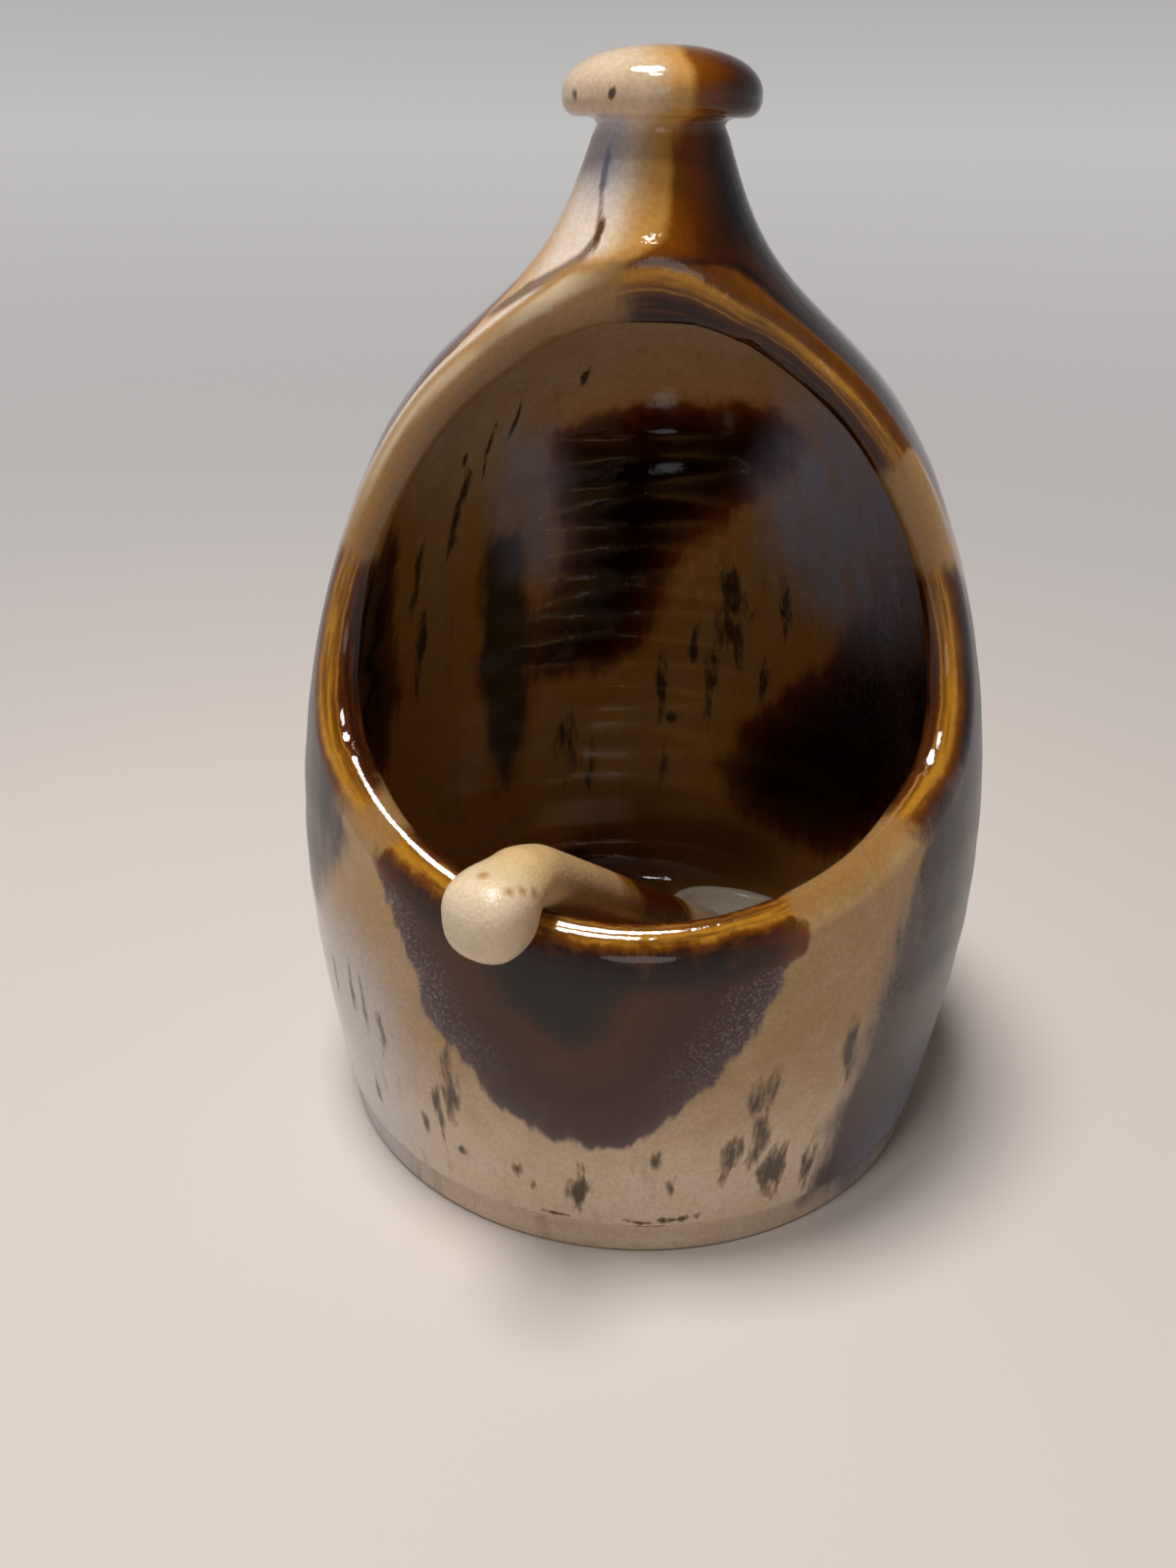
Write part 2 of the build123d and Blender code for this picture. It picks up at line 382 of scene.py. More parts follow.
# The poured glaze, by places on the pot: (angle, height) outlines of the iron brown pours, in degrees and mm.
outerPours = {
    "frontDrip": [(-40, 84), (-38, 68), (-34, 56), (-28, 44), (-20, 33), (-12, 27), (-3, 25), (4, 29), (12, 37),
                  (18, 46), (22, 57), (24, 68), (25, 84)],
    "leftFlank": [(-45, 84), (-48, 70), (-54, 59), (-63, 50), (-70, 53), (-78, 36), (-87, 27), (-94, 40),
                  (-101, 44), (-108, 30), (-114, 33), (-120, 56), (-130, 66), (-136, 88), (-128, 108),
                  (-104, 118), (-76, 110), (-60, 92)],
    "rightFlank": [(46, 84), (46, 69), (42, 56), (39, 42), (37, 26), (34, 4), (60, 2), (78, 3), (86, 14),
                   (94, 19), (100, 8), (108, 10), (114, 34), (121, 46), (128, 42), (134, 62), (138, 86),
                   (126, 106), (104, 112), (84, 107), (70, 106), (54, 96)],
    "rightHood": [(2, 192), (5, 182), (22, 179), (28, 177), (25, 175), (20, 173), (10, 170), (9, 164), (7, 161),
                  (4, 158.5), (0, 156), (-4, 153), (-6, 146), (20, 138), (55, 130), (66, 120), (80, 114), (92, 102),
                  (100, 106), (108, 124), (118, 118), (126, 138), (134, 160), (138, 192)],
    "leftHood": [(-90, 157), (-75, 150), (-68, 140), (-71, 128), (-78, 119), (-86, 102), (-98, 100),
                 (-106, 116), (-112, 131), (-121, 122), (-129, 138), (-122, 151), (-106, 159)],
    "backDrip": [(154, 138), (151, 116), (155, 92), (161, 78), (167, 84), (171, 60), (177, 34), (184, 28),
                 (190, 44), (194, 68), (200, 62), (206, 54), (211, 74), (214, 100), (222, 122), (214, 140),
                 (196, 146), (172, 148)],
}
innerPours = {
    "topPatch": [(210, 119), (198, 122), (186, 124), (166, 126), (144, 126), (134, 120), (140, 112), (152, 106),
                 (164, 97), (173, 88), (178, 78), (182, 67), (192, 60), (207, 61), (210, 74), (203, 85),
                 (202, 93), (207, 105)],
    "oliveRun": [(222, 98), (212, 95), (208, 70), (210, 46), (215, 32), (220, 46), (222, 72)],
    "leftEdge": [(262, 110), (254, 102), (248, 84), (245, 66), (250, 50), (262, 56), (270, 78), (272, 98)],
    "rightBlack": [(130, 84), (112, 100), (90, 104), (84, 84), (96, 62), (109, 46), (120, 34), (131, 26), (144, 25),
                   (156, 29), (163, 40), (158, 51), (147, 62), (138, 72)],
    "floorPatch": [(208, 12), (200, 20), (189, 22), (182, 19), (172, 11), (164, 2), (186, -6), (206, 2)],
}
darkCore = [(-20, 76), (-20, 62), (-17, 54), (-11, 48), (-7, 46), (-3, 48), (1, 57), (6, 64), (9, 76)]

# Tints inside, each with the distances from its outline between which it comes in.
innerTints = {
    "olive": ((-3, 3), innerPours["oliveRun"]),
    "navy": ((-2, 8), innerPours["rightBlack"]),
    "haze": ((-10, 10), [(152, 108), (150, 95), (141, 84), (124, 78), (104, 88), (84, 104), (78, 122), (104, 130),
                         (138, 124)]),
    "bloom": ((-6, 5), [(222, 118), (210, 119), (204, 108), (201, 94), (204, 84), (214, 88), (220, 100)]),
    "amber": ((-8, 6), [(190, 2), (160, 4), (140, 14), (150, 26), (176, 30), (196, 24)]),
}

# The stretches of the rim that are brown, in degrees round the middle of the mouth from its top.
rimPours = [(-5, 56), (78, 119), (141, 233), (241, 281)]
mouthMiddle = 100.0
mouthTop = 150.5

# Heights, depths behind the mouth and angles between which one stretch of the pot gives way to the next.
bands = {
    "belly": (98, 118), "hood": (134, 156), "neck": (136, 150), "knobFoot": (171.5, 173.5), "knob": (170, 174),
    "rim": (2.5, 6.0), "satin": (1.2, 3.2), "front": (40, 54), "flank": (36, 58), "back": (128, 156),
    "frontRim": (62, 80), "paleFoot": (14, 48), "paleHood": (112, 140), "paleInside": (84, 122),
    "streaks": (34, 52), "navy": (44, 80), "ringDepth": (3, 14), "beadDepth": (2, 10),
}

# Patches: the angles at which each comes in and goes out, and the heights. The last four are alike left and right.
always, never = (-900, -899), (900, 901)
patches = {
    "rightSide": ((24, 46), never, always, (108, 128)),
    "rightEdge": ((27, 38), (60, 90), always, (56, 70)),
    "drip": (always, never, (34, 48), (74, 86)),
    # underKnob: where blue-grey painted shade lies under the knob.
    "underKnob": ((-95, -50), (-40, -10), (158, 170), (171, 174)),
    "lowRight": ((34, 50), (95, 125), always, (8, 30)),
    "lowLeft": ((-110, -72), (-50, -28), always, (38, 62)),
    # Darker tan on the middle of the neck: partly gold tan glaze, partly painted shade under the knob.
    "rightNeckTanAndShade": ((-28, 0), never, (140, 152), never),
    # The left of the neck made paler: painted light where the lamp falls on it.
    "leftNeckPaintedLight": ((-120, -85), (-32, -14), (140, 150), (166, 171)),
    # topLeftRim: where a painted highlight lies along the outer edge of the rim.
    "topLeftRim": ((282, 300), (344, 356), always, never),
    "deepRings": ((128, 150), never, (44, 62), (112, 130)),
    "rings": (always, never, (12, 28), (138, 152)),
    "wobble": (always, never, (8, 40), (110, 150)),
    "bead": ((34.3775, 51.5662), never, always, (92, 118)),
}

# The brown pool on the floor inside, the brown third of the knob and a hair of brown down the neck.
floorPool = {"reach": 2.0, "uneven": 6.0, "steep": 0.6}
knobPour = {"edge": 5.8, "top": 178.0, "rise": 0.9, "lean": 0.1, "steep": 1.8}
neckHair = {
    "line": [(-41, 168), (-39, 164), (-34, 160), (-31, 157), (-36, 154), (-47, 151.5), (-58, 149.5), (-68, 146)],
    "degree": 0.36,
    "width": 0.55,
    "spread": 0.02,
}

# Single runs and flecks of the glaze: angle, height, half width in degrees, half length in mm.
outerRuns = [
    (-6, 15, 1.5, 5), (22, 36, 2.4, 5), (22, 27, 1.7, 7), (18, 22, 1.4, 5), (26, 17, 2.4, 6), (33, 16, 1.4, 6),
    (36, 41, 1.4, 6), (-27, 31, 1.4, 8), (-30, 25, 1.0, 6), (-16, 4.6, 1.3, 1.8), (9, 17, 0.8, 2.4), (6, 24, 0.8, 2),
    (-16, 17, 1.0, 1.8), (-13, 14, 0.8, 1.4), (-26, 17, 1.2, 1), (-57, 37, 0.7, 5), (-49, 39, 0.8, 6),
    (-46, 36, 0.8, 6), (-42, 33, 0.7, 5), (-47, 18, 0.7, 3), (-34, 20, 0.7, 2), (-10, 8, 2.8, 0.5),
    (4, 9, 2.4, 0.5), (10, 9.5, 3.0, 0.8), (6, 7.5, 3.6, 0.5), (-39, 164.5, 3.0, 2.4), (-31, 157, 2.8, 1.8),
    (-56, 175.5, 3.4, 0.9), (-26, 176, 2.2, 0.6),
]
innerRuns = [
    (235, 115, 1.3, 1.5), (233, 104, 1.6, 11), (239, 76, 1.3, 12), (162, 84, 2.8, 6), (161, 74, 4, 9),
    (148, 82, 1.6, 6), (177, 58, 1.1, 8), (175, 50, 1.6, 1.6), (199, 44, 2.2, 8), (176, 38, 1.1, 4.5),
    (203, 130, 1.2, 2), (170, 68, 1.2, 6), (115, 104, 0.8, 8), (122, 98, 0.7, 6), (194, 38, 1.4, 7),
    (243, 92, 1.2, 9), (228, 116, 0.8, 7), (222, 122, 0.7, 6), (166, 60, 1.4, 8), (153, 62, 1.2, 6),
]

# The noise that breaks up the glaze of the pot: its size in mm, its detail, and whether it is drawn downwards.
potNoise = {
    "wander": (11, 4, False),
    "teeth": (2.2, 5, True),
    "mottle": (6, 7, False),
    "veil": (5, 4, True),
    "dust": (0.55, 2, False),
    "hairs": (0.9, 3, True),
    "flecks": (3.4, 4, True),
    "grain": (0.8, 4, False),
    "peel": (2.2, 3, False),
}

# Ramps of its colours: the cream from tan to pale, the pours from thin to thick, and the rim from inside out.
potRamps = {
    "cream": [(0.2, "#BC9255"), (0.42, "#B4905E"), (0.6, "#C2A480"), (0.8, "#D9BFA0"), (1.0, "#E0CDBC")],
    "brown": [(0.0, "#8A5410"), (0.1, "#703A06"), (0.28, "#4E2006"), (0.5, "#301208"), (0.85, "#1A0A06")],
    "maroon": [(0.0, "#5E4844"), (0.2, "#4A2E28"), (0.5, "#431F15"), (1.0, "#3A1A10")],
    "night": [(0.0, "#6A564E"), (0.25, "#40342F"), (0.55, "#2C2627"), (0.8, "#201F22"), (1.0, "#17181E")],
    "treacle": [(0.0, "#A06A1E"), (0.14, "#763F05"), (0.42, "#623004"), (0.68, "#3E1A06"), (0.95, "#120806")],
    "glow": [(0.15, "#000000"), (0.5, "#B4B4B4"), (0.75, "#000000")],
    "thin": [(0.04, "#000000"), (0.12, "#F8F8F8"), (0.64, "#F8F8F8"), (0.74, "#000000")],
    "amber": [(0.05, "#1E0A04"), (0.27, "#301204"), (0.35, "#52260A"), (0.38, "#A06C22"), (0.41, "#75460E"),
              (0.48, "#AE761C"), (0.55, "#B47E26"), (0.6, "#744209"), (0.67, "#321508")],
    # The honey of the rim darkens towards its inside as painted shade.
    "honeyShadedInward": [(0.1, "#7E5F3C"), (0.38, "#8E683C"), (0.5, "#94693A"), (0.75, "#AC8755")],
}

# What keeps the marks of the two sides of the wall apart, where each side is cut to be rolled out, what counts as
# far from a mark, and what draws the streaks out along the rim.
sideShift = 1000.0
outerSeam, innerSeam = 165, 25
farOff = -40.0
rimLap = 5.0
rimAcross = 1.8


def wallSide(radius, height):
    # 1 on the outside of the clay, -1 on the inside, and between them over the rim.
    middle = offsetLine(smoothLine(pot["profile"], pot["sideSteps"]), pot["wall"] / 2)
    side = (radius - np.interp(height, middle[:, 1], middle[:, 0])) / (pot["wall"] / 2)
    solid = (height < pot["floorHeight"] / 2) | (height > pot["crownTop"])
    return np.where(solid, 1, np.clip(side, -1, 1))


def lineGap(across, height, corners):
    # How far a point lies from a line of straight stretches.
    nearest = np.full(len(across), np.inf)
    for (a1, h1), (a2, h2) in zip(corners, corners[1:]):
        share = ((across - a1) * (a2 - a1) + (height - h1) * (h2 - h1)) / ((a2 - a1) ** 2 + (h2 - h1) ** 2)
        share = np.clip(share, 0, 1)
        gap = np.hypot(across - a1 - share * (a2 - a1), height - h1 - share * (h2 - h1))
        nearest = np.minimum(nearest, gap)
    return nearest


def outlineDistance(angle, height, outline):
    # How far inside an outline a point lies, in mm: on the belly a degree is about a millimetre.
    corners = outline + outline[:1]
    middle = np.mean([corner[0] for corner in outline])
    across = (angle - middle + 180) % 360 - 180 + middle
    inside = np.zeros(len(angle), bool)
    for (a1, h1), (a2, h2) in zip(corners, corners[1:]):
        if h1 != h2:
            crossed = (h1 > height) != (h2 > height)
            inside ^= crossed & (across < a1 + (height - h1) * (a2 - a1) / (h2 - h1))
    nearest = lineGap(across, height, corners)
    return np.where(inside, nearest, -nearest)


def patch(name, angle, height):
    # 1 on a patch of the pot, fading to 0 round it.
    angleIn, angleOut, heightIn, heightOut = patches[name]
    around = smoothStep(*angleIn, angle) * (1 - smoothStep(*angleOut, angle))
    return around * smoothStep(*heightIn, height) * (1 - smoothStep(*heightOut, height))


def throwingMarks(piece):
    # Fingers leave soft rings inside and faint ones outside, and the form is never quite round.
    x, y, z = vertexPlaces(piece).T
    angle, radius = np.arctan2(x, -y), np.hypot(x, y)
    side, depth, turned = wallSide(radius, z), cutDepth(y, z), np.degrees(np.abs(angle))
    ring = np.sin(2 * math.pi * z / pot["ringPitch"] + angle + 0.7 * np.sin(2 * angle + z / 17))
    ring = ring + 0.6 * np.sin(2 * math.pi * z / (1.7 * pot["ringPitch"]) - 2 * angle)
    deep = pot["ringBack"] * patch("deepRings", turned, z)
    amount = np.where(side < 0, pot["ringInside"] + deep, pot["ringOutside"])
    amount = amount * (0.7 + 0.3 * np.sin(3 * angle + z / 11))
    calm = smoothStep(*bands["ringDepth"], depth) * patch("rings", turned, z)
    wobble = pot["wobble"] * np.sin(2 * angle + 0.6) * patch("wobble", turned, z)
    bead = pot["rimBead"] * (1 - smoothStep(*bands["beadDepth"], depth)) * smoothStep(0, -1, side)
    bead = bead * patch("bead", turned, z)
    factor = 1 + (ring * amount * calm + wobble - bead) / np.maximum(radius, 1)
    setVertexPlaces(piece, np.stack([x * factor, y * factor, z], axis=1))


def glazeFields(piece):
    # What the glaze does at each point of the pot, for the material to read.
    fields = {}
    x, y, z = vertexPlaces(piece).T
    radius, angle = np.hypot(x, y), np.degrees(np.arctan2(x, -y))
    side = wallSide(radius, z)
    depth = np.cbrt(np.maximum(cutDepth(y, z), 0) ** 3 + np.maximum(z - mouthTop, 0) ** 3)
    outside = smoothStep(-0.5, 0.5, side)
    floorRim = pot["footRadius"] - pot["wall"] - pot["floorCorner"] + 3
    climb = np.where((z < pot["floorHeight"] + pot["floorCorner"]) & (side < 0),
                     z - np.maximum(floorRim - radius, 0), z)

    # The pours outside, inside and on the rim: how far in from the edge of the brown, in mm.
    outer = np.max([outlineDistance(angle, z, line) for line in outerPours.values()], axis=0)
    hood = smoothStep(*bands["hood"], z) * outside
    outer = outer * (1 - 0.45 * hood)
    rise = knobPour["rise"] * np.maximum(z - knobPour["top"], 0)
    knobSide = knobPour["steep"] * (x - knobPour["edge"] + rise - knobPour["lean"] * y)
    onKnob = smoothStep(*bands["knobFoot"], z)
    outer = outer * (1 - onKnob) + knobSide * onKnob
    inner = np.max([outlineDistance(angle, climb, line) for line in innerPours.values()], axis=0)
    lobes = np.sin(np.radians(2 * angle + 50)) + 0.6 * np.sin(np.radians(3 * angle))
    pool = floorPool["steep"] * (floorPool["reach"] - climb + floorPool["uneven"] * lobes)
    inner = np.maximum(inner, pool)
    turn = np.degrees(np.arctan2(x, z - mouthMiddle)) % 360
    around = np.max([
        (last - first) / 2 - np.abs((turn - (first + last) / 2 + 180) % 360 - 180) for first, last in rimPours
    ], axis=0) * 0.9
    onRim = 1 - smoothStep(*bands["rim"], depth)
    fields["pour"] = (1 - onRim) * (outside * outer + (1 - outside) * inner) + onRim * around

    # The rim: the way over it from inside to outside, its frayed front, a painted highlight along its outer edge at
    # the top left, and its streaks.
    over = np.sign(side) * (np.abs(side) * 3 + np.maximum(depth - pot["rimRound"], 0))
    low = 1 - smoothStep(*bands["frontRim"], z)
    fields["over"] = over + 1.2 * np.maximum(low, patch("rightSide", angle, z))
    fields["frayed"] = 0.7 + 1.8 * low
    # At the top left, a pale line along the outer edge of the rim is a painted highlight.
    outerEdge = smoothStep(0.72, 0.95, side) * (1 - smoothStep(1.2, 2.2, depth))
    fields["bright"] = patch("topLeftRim", turn, z) * outerEdge
    lap = np.radians(turn)
    fields["rimFlow"] = np.stack([rimLap * np.cos(lap), rimLap * np.sin(lap), rimAcross * over], axis=1)

    # The belly under the hood, its dark flanks, and how soft the edges of the pours are.
    under = outside * (1 - smoothStep(*bands["belly"], z))
    fields["belly"] = under * (1 - onRim * (1 - smoothStep(*bands["front"], np.abs(angle))))
    fields["satin"] = under * smoothStep(*bands["satin"], depth)
    back = smoothStep(*bands["back"], np.abs(angle))
    flank = smoothStep(*bands["flank"], np.abs(angle)) * (1 - 0.7 * back) * under
    neck = smoothStep(*bands["neck"], z) * outside
    soft = 0.9 + 1.3 * (1 - outside) + 0.9 * neck + 2.4 * flank
    fields["soft"] = soft + 2.4 * patch("rightEdge", angle, z) * outside * (1 - flank)
    fields["flank"] = flank
    fields["hood"] = hood
    fields["honey"] = 0.5 * (1 - outside) + 0.85 * neck

    # Tints: dust on the drip, its core, olive, blue haze with painted blue-grey shade under the knob, navy, amber, and
    # lilac that is partly a painted sheen.
    inside = {
        name: smoothStep(*soft, outlineDistance(angle, climb, line)) * (1 - outside)
        for name, (soft, line) in innerTints.items()
    }
    fields["dusty"] = outside * patch("drip", angle, z) * (1 - 0.92 * flank)
    fields["core"] = np.where(side > 0, outlineDistance(angle, z, darkCore), farOff)
    fields["olive"] = inside["olive"]
    fields["navy"] = inside["navy"] * smoothStep(*bands["navy"], z)
    # Under the knob the blue-grey tint is painted shade; low on the right it is haze in the glaze.
    hazeAndShadeOutside = 0.7 * patch("underKnob", angle, z) + 0.35 * patch("lowRight", angle, z)
    fields["haze"] = np.maximum(inside["haze"], 0.6 * inside["bloom"]) + hazeAndShadeOutside * outside
    fields["amber"] = inside["amber"]
    # The lilac at the lower left is partly a painted sheen of reflection.
    fields["lilac"] = patch("lowLeft", angle, z) * outside

    # How pale the cream is, with painted shade and painted light on the neck, and where it is streaked.
    paleOut = 0.28 + 0.42 * (1 - smoothStep(*bands["paleFoot"], z)) + 0.42 * smoothStep(*bands["paleHood"], z)
    onTop = smoothStep(*bands["knob"], z)
    # The middle of the neck under the knob is made darker tan: partly gold tan glaze, partly painted shade.
    paleOut = paleOut - 0.3 * patch("rightNeckTanAndShade", angle, z) * (1 - onTop) - 0.1 * onTop
    # The left of the neck is made paler as painted light.
    paleOut = paleOut + 0.12 * patch("leftNeckPaintedLight", angle, z)
    paleIn = 0.1 + 0.3 * smoothStep(*bands["paleInside"], z)
    fields["pale"] = outside * paleOut + (1 - outside) * paleIn
    fields["streaky"] = np.where(side > 0, 1 - smoothStep(*bands["streaks"], z), 0.9)
    degree = neckHair["degree"]
    hairGap = lineGap(angle * degree, z, [(a * degree, h) for a, h in neckHair["line"]])
    hairWidth = neckHair["width"] + neckHair["spread"] * np.maximum(mouthTop + 10 - z, 0)
    fields["hair"] = np.where(side > 0, hairWidth - hairGap, farOff)

    # The wall rolled out flat, the inside apart from the outside but for where either is cut.
    seam = np.where(side > 0, np.abs(angle) > outerSeam, np.abs(angle) < innerSeam)
    across = np.where(side > 0, angle, angle % 360)
    layer = np.where(seam, 0, side * sideShift)
    fields["unrolled"] = np.stack([across, climb, layer], axis=1)
    for name, values in fields.items():
        setAttribute(piece, name, values)
    return fields


def fillRamp(colour, stops):
    # Sets the stops of the ramp that this colour comes from.
    ramp = colour.node.color_ramp
    while len(ramp.elements) < len(stops):
        ramp.elements.new(0.5)
    for element, (place, code) in zip(ramp.elements, stops):
        element.position = place
        element.color = linearColour(code)
    return colour


def perMetre(size):
    # The texture scale that gives marks of this size in millimetres.
    return 1 / (size * millimetre)


def newMaterial(piece, name):
    material = bpy.data.materials.new(name)
    material.use_nodes = True
    piece.data.materials.clear()
    piece.data.materials.append(material)
    return material.node_tree, material.node_tree.nodes["Principled BSDF"]


def glazePot(piece, fields):
    # Stoneware glaze, poured and fired: cream under iron brown, glossy, mottled and run, broken amber on edges.
    tree, shader = newMaterial(piece, "pouredStonewareGlaze")
    field = {
        name: addNode(tree, "Attribute", attribute_name=name, output="Fac" if values.ndim == 1 else "Vector")
        for name, values in fields.items()
    }
    place = addNode(tree, "TexCoord", output="Object")
    drawn = addNode(tree, "VectorMath", {0: place, 1: (1, 1, 0.22)}, operation="MULTIPLY")
    noise = []
    for size, detail, runs in potNoise.values():
        inputs = {"Vector": drawn if runs else place, "Scale": perMetre(size), "Detail": detail}
        noise.append(addNode(tree, "TexNoise", inputs))
    wander, teeth, mottle, veil, dust, hairs, flecks, grain, peel = noise

    # The edge of a pour wanders and ends in small teeth.
    stray = addNode(tree, "Math", {0: wander, 1: 6.0, 2: -3.0}, operation="MULTIPLY_ADD")
    toothed = addNode(tree, "Math", {0: teeth, 1: 5.0, 2: stray}, operation="MULTIPLY_ADD")
    uneven = addNode(tree, "Math", {0: toothed, 1: 2.5}, operation="SUBTRACT")
    calm = addNode(tree, "MapRange", {"Value": field["hood"], "To Min": 1.0, "To Max": 0.45})
    edge = addNode(tree, "Math", {0: uneven, 1: calm, 2: field["pour"]}, operation="MULTIPLY_ADD")
    softer = addNode(tree, "Math", {0: field["soft"], 1: -1.0}, operation="MULTIPLY")
    covered = addNode(
        tree, "MapRange", {"Value": edge, "From Min": softer, "From Max": field["soft"]},
        interpolation_type="SMOOTHSTEP",
    )
    stream = addNode(tree, "Math", {0: veil, 1: 36.0, 2: -18.0}, operation="MULTIPLY_ADD")
    layered = addNode(tree, "Math", {0: stream, 1: field["flank"], 2: edge}, operation="MULTIPLY_ADD")
    thick = addNode(tree, "MapRange", {"Value": layered, "From Min": 0.0, "From Max": 16.0})

    # Cream: warm and tan inside, paler low on the pot and on the hood, lavender at the lower left, partly a lilac
    # glaze tint and partly a painted sheen of reflection.
    tone = addNode(tree, "Math", {0: mottle, 1: 0.3, 2: field["pale"]}, operation="MULTIPLY_ADD")
    cream = fillRamp(addNode(tree, "ValToRGB", {"Fac": tone}), potRamps["cream"])
    lilacShare = addNode(tree, "Math", {0: field["lilac"], 1: 0.95}, operation="MULTIPLY")
    ground = addNode(
        tree, "Mix", {"Factor": lilacShare, "A": cream, "B": linearColour("#D2CCCC")}, data_type="RGBA", output=2
    )

    # A honey halo lies round the brown inside and on the neck.
    near = addNode(tree, "MapRange", {"Value": edge, "From Min": -11.0, "From Max": -3.0})
    haloShare = addNode(tree, "Math", {0: near, 1: field["honey"]}, operation="MULTIPLY")

    # Brown inside and on the neck, maroon in front, nearly black on the flanks. Pale dust floats near its edges.
    brown = fillRamp(addNode(tree, "ValToRGB", {"Fac": thick}), potRamps["brown"])
    maroon = fillRamp(addNode(tree, "ValToRGB", {"Fac": thick}), potRamps["maroon"])
    swell = addNode(tree, "MapRange", {"Value": veil, "From Min": 0.36, "From Max": 0.62, "To Min": 0.35})
    uneasy = addNode(tree, "Math", {0: thick, 1: swell}, operation="MULTIPLY")
    night = fillRamp(addNode(tree, "ValToRGB", {"Fac": uneasy}), potRamps["night"])
    sides = addNode(tree, "Mix", {"Factor": field["flank"], "A": maroon, "B": night}, data_type="RGBA", output=2)
    speck = addNode(tree, "MapRange", {"Value": dust, "From Min": 0.5, "From Max": 0.66})
    fringe = addNode(tree, "MapRange", {"Value": edge, "From Min": 9.0, "From Max": 0.0})
    fringeDust = addNode(tree, "Math", {0: fringe, 1: field["dusty"]}, operation="MULTIPLY")
    speckShare = addNode(tree, "Math", {0: speck, 1: fringeDust}, operation="MULTIPLY")

    # A dark olive core hangs from the rim, with an orange glow round it.
    coreRagged = addNode(tree, "Math", {0: wander, 1: 6.0, 2: field["core"]}, operation="MULTIPLY_ADD")
    coreRange = addNode(tree, "MapRange", {"Value": coreRagged, "From Min": -9.0, "From Max": 11.0})
    glow = fillRamp(addNode(tree, "ValToRGB", {"Fac": coreRange}), potRamps["glow"])
    coreFill = addNode(
        tree, "MapRange", {"Value": coreRagged, "From Min": 1.5, "From Max": 6.5}, interpolation_type="SMOOTHSTEP"
    )
    dripped = sides
    for share, code in ((speckShare, "#84767E"), (glow, "#643412"), (coreFill, "#231C16")):
        layer = {"Factor": share, "A": dripped, "B": linearColour(code)}
        dripped = addNode(tree, "Mix", layer, data_type="RGBA", output=2)
    oliveBrown = addNode(
        tree, "Mix", {"Factor": field["olive"], "A": brown, "B": linearColour("#463C2C")}, data_type="RGBA", output=2
    )
    treacle = fillRamp(addNode(tree, "ValToRGB", {"Fac": thick}), potRamps["treacle"])
    above = addNode(tree, "Mix", {"Factor": field["hood"], "A": oliveBrown, "B": treacle}, data_type="RGBA", output=2)
    iron = addNode(tree, "Mix", {"Factor": field["belly"], "A": above, "B": dripped}, data_type="RGBA", output=2)

    # Runs and flecks, some at their own places and some scattered, all drawn downwards.
    drift = addNode(
        tree, "VectorMath", {0: wander.node.outputs["Color"], 1: (4.0, 5.0, 0.0), 2: (-2.0, -2.5, 0.0)},
        operation="MULTIPLY_ADD",
    )
    strayed = addNode(tree, "VectorMath", {0: field["unrolled"], 1: drift}, operation="ADD")
    nearest = None
    for runs, wallLayer in ((outerRuns, sideShift), (innerRuns, -sideShift)):
        for angle, height, wide, long in runs:
            size = (1 / wide, 1 / long, 5 / sideShift)
            middle = (-angle / wide, -height / long, -5 * wallLayer / sideShift)
            reach = addNode(tree, "VectorMath", {0: strayed, 1: size, 2: middle}, operation="MULTIPLY_ADD")
            length = addNode(tree, "VectorMath", {0: reach}, operation="LENGTH", output="Value")
            if nearest is None:
                nearest = length
            else:
                nearest = addNode(tree, "Math", {0: nearest, 1: length}, operation="MINIMUM")
    torn = addNode(tree, "Math", {0: teeth, 1: -2.2, 2: nearest}, operation="MULTIPLY_ADD")
    ragged = addNode(tree, "Math", {0: hairs, 1: -1.8, 2: torn}, operation="MULTIPLY_ADD")
    stain = addNode(
        tree, "MapRange", {"Value": ragged, "From Min": -0.75, "From Max": -1.3, "To Max": 0.75},
        interpolation_type="SMOOTHSTEP",
    )
    run = addNode(
        tree, "MapRange", {"Value": ragged, "From Min": -1.15, "From Max": -1.7, "To Max": 0.85},
        interpolation_type="SMOOTHSTEP",
    )
    fleck = addNode(tree, "MapRange", {"Value": flecks, "From Min": 0.6, "From Max": 0.82, "To Max": 0.6})
    scattered = addNode(tree, "Math", {0: fleck, 1: field["streaky"]}, operation="MULTIPLY")

    # A hair of brown down the neck. The cream with its halo and marks lies under the pours.
    strand = addNode(tree, "Math", {0: wander, 1: 2.0, 2: field["hair"]}, operation="MULTIPLY_ADD")
    strandShare = addNode(tree, "MapRange", {"Value": strand, "From Min": 0.4, "From Max": 1.3, "To Max": 0.8})
    marked = ground
    for share, code in (
        (haloShare, "#BC8636"), (scattered, "#866C48"), (stain, "#80633E"), (run, "#3E2C1A"), (strandShare, "#5C3C1E"),
    ):
        layer = {"Factor": share, "A": marked, "B": linearColour(code)}
        marked = addNode(tree, "Mix", layer, data_type="RGBA", output=2)
    poured = addNode(tree, "Mix", {"Factor": covered, "A": marked, "B": iron}, data_type="RGBA", output=2)

